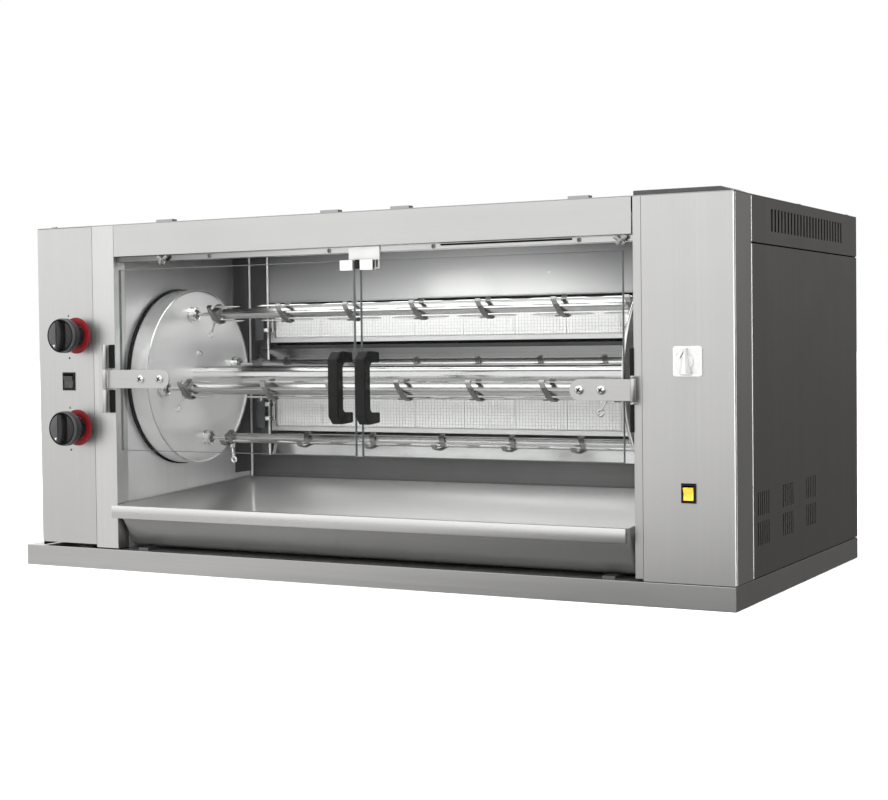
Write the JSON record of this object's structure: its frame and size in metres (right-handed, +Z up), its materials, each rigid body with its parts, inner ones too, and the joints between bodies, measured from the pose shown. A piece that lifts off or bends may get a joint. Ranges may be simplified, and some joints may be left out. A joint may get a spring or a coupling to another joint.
{
  "type": "rotisserie oven",
  "caption": "Counter-top gas rotisserie oven with glass doors, a planetary spit rotor, ceramic burners, control columns and a slide-out drip pan.",
  "frame": {"origin": "centre of the bottom face of the plinth", "axes": "+X to the right seen from the front, +Y to the back, +Z up"},
  "size_m": [1.286, 0.739, 0.5945],
  "materials": {
    "base_plinth": "brushed along its length",
    "left_front_panel": "fine upright brushing",
    "left_side_panel": "fine brushing",
    "left_post": "fine upright brushing",
    "right_post": "fine upright brushing",
    "right_front_panel": "fine upright brushing",
    "right_upper_side": "fine brushing",
    "right_side_panel": "fine brushing",
    "top_fascia": "fine brushing along its length",
    "roof_panel": "fine brushing",
    "right_cap": "dark satin",
    "back_panel": "plain mill finish",
    "left_liner": "satin",
    "right_liner": "satin",
    "rear_liner": "heat-darkened",
    "ceiling_liner": "satin",
    "side_shields": "heat-darkened",
    "air_strip": "satin",
    "strip_fasteners": "bright",
    "upper_reflector": "bright rolled",
    "middle_reflector": "bright rolled",
    "lower_reflector": "bright rolled",
    "burner_bodies": "satin",
    "burner_plaques": "matt, fine perforated",
    "igniters": "dark",
    "gas_rail": "dull",
    "gas_valves": "dull",
    "gearmotor": "satin",
    "sun_hub": "machined",
    "right_bearing": "machined",
    "pan_runners": "satin",
    "hinge_brackets": "satin",
    "hinge_strips": "matt",
    "catch_bracket": "white",
    "catch_magnet": "matt",
    "knob_bezels": "gloss",
    "timer_plate": "satin",
    "switch_frames": "matt",
    "left_glass": "clear",
    "left_door_metal": "satin",
    "left_handle": "satin",
    "right_glass": "clear",
    "right_door_metal": "satin",
    "right_handle": "satin",
    "disc_left": "satin",
    "disc_right": "satin",
    "rotor_tube": "bright drawn tube",
    "spit_1": "satin",
    "spit_2": "satin",
    "spit_3": "satin",
    "spit_4": "satin",
    "upper_spindle": "machined",
    "lower_spindle": "machined",
    "upper_knob": "satin",
    "lower_knob": "satin",
    "timer_knob": "satin",
    "black_rocker": "gloss",
    "amber_rocker": "translucent amber",
    "drip_pan": "satin"
  },
  "bodies": {
    "cabinet": {"base_plinth": "base_plinth", "left_front_panel": "left_front_panel", "left_side_panel": "left_side_panel", "left_post": "left_post", "right_post": "right_post", "right_front_panel": "right_front_panel", "right_upper_side": "right_upper_side", "top_fascia": "top_fascia", "roof_panel": "roof_panel", "right_cap": "right_cap", "back_panel": "back_panel", "left_liner": "left_liner", "right_liner": "right_liner", "rear_liner": "rear_liner", "ceiling_liner": "ceiling_liner", "side_shields": "side_shields", "air_strip": "air_strip", "strip_fasteners": "strip_fasteners", "upper_reflector": "upper_reflector", "middle_reflector": "middle_reflector", "lower_reflector": "lower_reflector", "burner_bodies": "burner_bodies", "burner_plaques": "burner_plaques", "igniters": "igniters", "gas_rail": "gas_rail", "gas_valves": "gas_valves", "gearmotor": "gearmotor", "sun_hub": "sun_hub", "right_bearing": "right_bearing", "pan_runners": "pan_runners", "hinge_brackets": "hinge_brackets", "hinge_strips": "hinge_strips", "catch_bracket": "catch_bracket", "catch_magnet": "catch_magnet", "knob_bezels": "knob_bezels", "timer_plate": "timer_plate", "switch_frames": "switch_frames"},
    "side_panel": {"right_side_panel": "right_side_panel"},
    "left_door": {"left_glass": "left_glass", "left_door_metal": "left_door_metal", "left_handle": "left_handle"},
    "right_door": {"right_glass": "right_glass", "right_door_metal": "right_door_metal", "right_handle": "right_handle"},
    "rotor": {"disc_left": "disc_left", "disc_right": "disc_right", "rotor_tube": "rotor_tube"},
    "spit_1": {"spit_1": "spit_1"},
    "spit_2": {"spit_2": "spit_2"},
    "spit_3": {"spit_3": "spit_3"},
    "spit_4": {"spit_4": "spit_4"},
    "upper_spindle": {"upper_spindle": "upper_spindle"},
    "lower_spindle": {"lower_spindle": "lower_spindle"},
    "upper_knob": {"upper_knob": "upper_knob"},
    "lower_knob": {"lower_knob": "lower_knob"},
    "timer_knob": {"timer_knob": "timer_knob"},
    "black_rocker": {"black_rocker": "black_rocker"},
    "amber_rocker": {"amber_rocker": "amber_rocker"},
    "drip_pan": {"drip_pan": "drip_pan"}
  },
  "joints": [
    {"name": "left_door_hinge", "type": "hinge", "parent": "cabinet", "child": "left_door", "pos_m": [-0.4564, -0.339, 0.325], "axis": [0, 0, -1], "range_deg": [0, 110]},
    {"name": "right_door_hinge", "type": "hinge", "parent": "cabinet", "child": "right_door", "pos_m": [0.4962, -0.339, 0.309], "axis": [0, 0, 1], "range_deg": [0, 110]},
    {"name": "rotor_spin", "type": "hinge", "parent": "cabinet", "child": "rotor", "pos_m": [0, -0.146, 0.325], "axis": [1, 0, 0], "continuous": true},
    {"name": "spit_1_spin", "type": "hinge", "parent": "rotor", "child": "spit_1", "pos_m": [0, -0.16528, 0.43431], "axis": [1, 0, 0], "continuous": true},
    {"name": "spit_2_spin", "type": "hinge", "parent": "rotor", "child": "spit_2", "pos_m": [0, -0.03669, 0.34427], "axis": [1, 0, 0], "continuous": true},
    {"name": "spit_3_spin", "type": "hinge", "parent": "rotor", "child": "spit_3", "pos_m": [0, -0.12673, 0.21569], "axis": [1, 0, 0], "continuous": true},
    {"name": "spit_4_spin", "type": "hinge", "parent": "rotor", "child": "spit_4", "pos_m": [0, -0.25531, 0.30573], "axis": [1, 0, 0], "continuous": true},
    {"name": "upper_knob_push", "type": "slide", "parent": "cabinet", "child": "upper_spindle", "axis": [0, 1, 0], "range_m": [0, 0.004], "stiffness_N_per_m": 900, "springref_m": -0.002},
    {"name": "upper_knob_turn", "type": "hinge", "parent": "upper_spindle", "child": "upper_knob", "pos_m": [-0.525, -0.33, 0.3995], "axis": [0, -1, 0], "range_deg": [0, 180]},
    {"name": "lower_knob_push", "type": "slide", "parent": "cabinet", "child": "lower_spindle", "axis": [0, 1, 0], "range_m": [0, 0.004], "stiffness_N_per_m": 900, "springref_m": -0.002},
    {"name": "lower_knob_turn", "type": "hinge", "parent": "lower_spindle", "child": "lower_knob", "pos_m": [-0.525, -0.33, 0.2415], "axis": [0, -1, 0], "range_deg": [0, 180]},
    {"name": "timer_turn", "type": "hinge", "parent": "cabinet", "child": "timer_knob", "pos_m": [0.575, -0.33, 0.3495], "axis": [0, 1, 0], "range_deg": [0, 300]},
    {"name": "black_rocker_tilt", "type": "hinge", "parent": "cabinet", "child": "black_rocker", "pos_m": [-0.542, -0.326, 0.321], "axis": [-1, 0, 0], "range_deg": [0, 14]},
    {"name": "amber_rocker_tilt", "type": "hinge", "parent": "cabinet", "child": "amber_rocker", "pos_m": [0.575, -0.326, 0.164], "axis": [-1, 0, 0], "range_deg": [0, 14]},
    {"name": "drip_pan_slide", "type": "slide", "parent": "cabinet", "child": "drip_pan", "axis": [0, -1, 0], "range_m": [0, 0.38]},
    {"name": "side_panel_off", "type": "slide", "parent": "cabinet", "child": "side_panel", "axis": [1, 0, 0], "range_m": [0, 0.06]}
  ],
  "couplings": [
    {"joint": "spit_1_spin", "follows": "rotor_spin", "ratio": 3},
    {"joint": "spit_2_spin", "follows": "rotor_spin", "ratio": 3},
    {"joint": "spit_3_spin", "follows": "rotor_spin", "ratio": 3},
    {"joint": "spit_4_spin", "follows": "rotor_spin", "ratio": 3}
  ]
}
